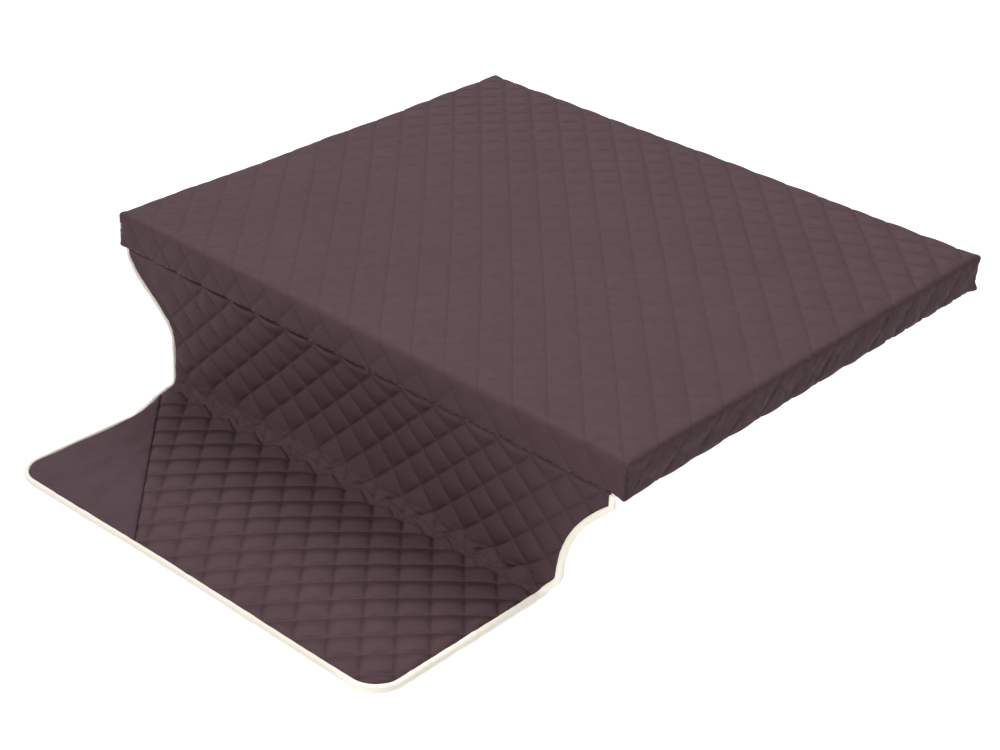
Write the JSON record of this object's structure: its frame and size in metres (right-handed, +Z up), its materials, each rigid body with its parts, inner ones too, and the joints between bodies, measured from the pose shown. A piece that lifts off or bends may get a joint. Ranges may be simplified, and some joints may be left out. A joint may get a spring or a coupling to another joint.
{
  "type": "quilted boot mat with bumper flap",
  "caption": "Flat foam mat in a quilted cover, with a quilted, cream-edged flap that hangs from its front edge and folds out over a bumper.",
  "frame": {"origin": "centre of the pad's underside, which rests on the boot floor", "axes": "+Z up out of the pad's top, -Y from the pad towards the flap, +X along the flap's seam to the right seen from the flap's side"},
  "size_m": [1.05, 1.2407, 0.2773],
  "materials": {
    "quilted_cloth": "matte",
    "plain_cloth": "matte",
    "cream_cloth": "matte",
    "wadding": "matte",
    "foam": "matte",
    "dark_thread": "matte",
    "pale_thread": "matte",
    "zip_nylon": "satin",
    "zip_metal": "satin"
  },
  "bodies": {
    "pad": {"foam_core": "foam", "cover_backing": "wadding", "cover_wadding": "wadding", "cover_face": "quilted_cloth", "base_panel": "cream_cloth", "base_edge_binding": "cream_cloth", "corner_seam_front_left": "dark_thread", "corner_seam_front_right": "dark_thread", "corner_seam_rear_left": "dark_thread", "corner_seam_rear_right": "dark_thread", "flap_seam_thread": "pale_thread", "zip_tape_upper": "plain_cloth", "zip_tape_lower": "plain_cloth", "zip_coil_upper": "zip_nylon", "zip_coil_lower": "zip_nylon", "zip_stop_left": "zip_metal", "zip_stop_right": "zip_metal"},
    "slider": {"zip_slider": "zip_metal"},
    "pull": {"zip_pull": "zip_metal"},
    "flap_upper": {"flap_upper_face": "quilted_cloth", "flap_upper_wadding": "wadding", "flap_upper_lining": "cream_cloth", "flap_upper_binding_left": "cream_cloth", "flap_upper_binding_right": "cream_cloth"},
    "flap_outer": {"flap_outer_face": "quilted_cloth", "flap_corner_panel": "plain_cloth", "flap_outer_wadding": "wadding", "flap_outer_lining": "cream_cloth", "flap_outer_binding": "cream_cloth", "corner_seam_thread": "dark_thread"}
  },
  "joints": [
    {"name": "flap_seam", "type": "hinge", "parent": "pad", "child": "flap_upper", "pos_m": [0, -0.45, 0], "axis": [-1, 0, 0], "range_deg": [-45, 170]},
    {"name": "flap_crease", "type": "hinge", "parent": "flap_upper", "child": "flap_outer", "pos_m": [0, -0.449, -0.21], "axis": [1, 0, 0], "range_deg": [-30, 90]},
    {"name": "zip_run", "type": "slide", "parent": "pad", "child": "slider", "axis": [-1, 0, 0], "range_m": [0, 0.785]},
    {"name": "zip_pull_swing", "type": "hinge", "parent": "slider", "child": "pull", "pos_m": [0.396, 0.45185, 0.0118], "axis": [0, 0, -1], "range_deg": [0, 170]}
  ]
}
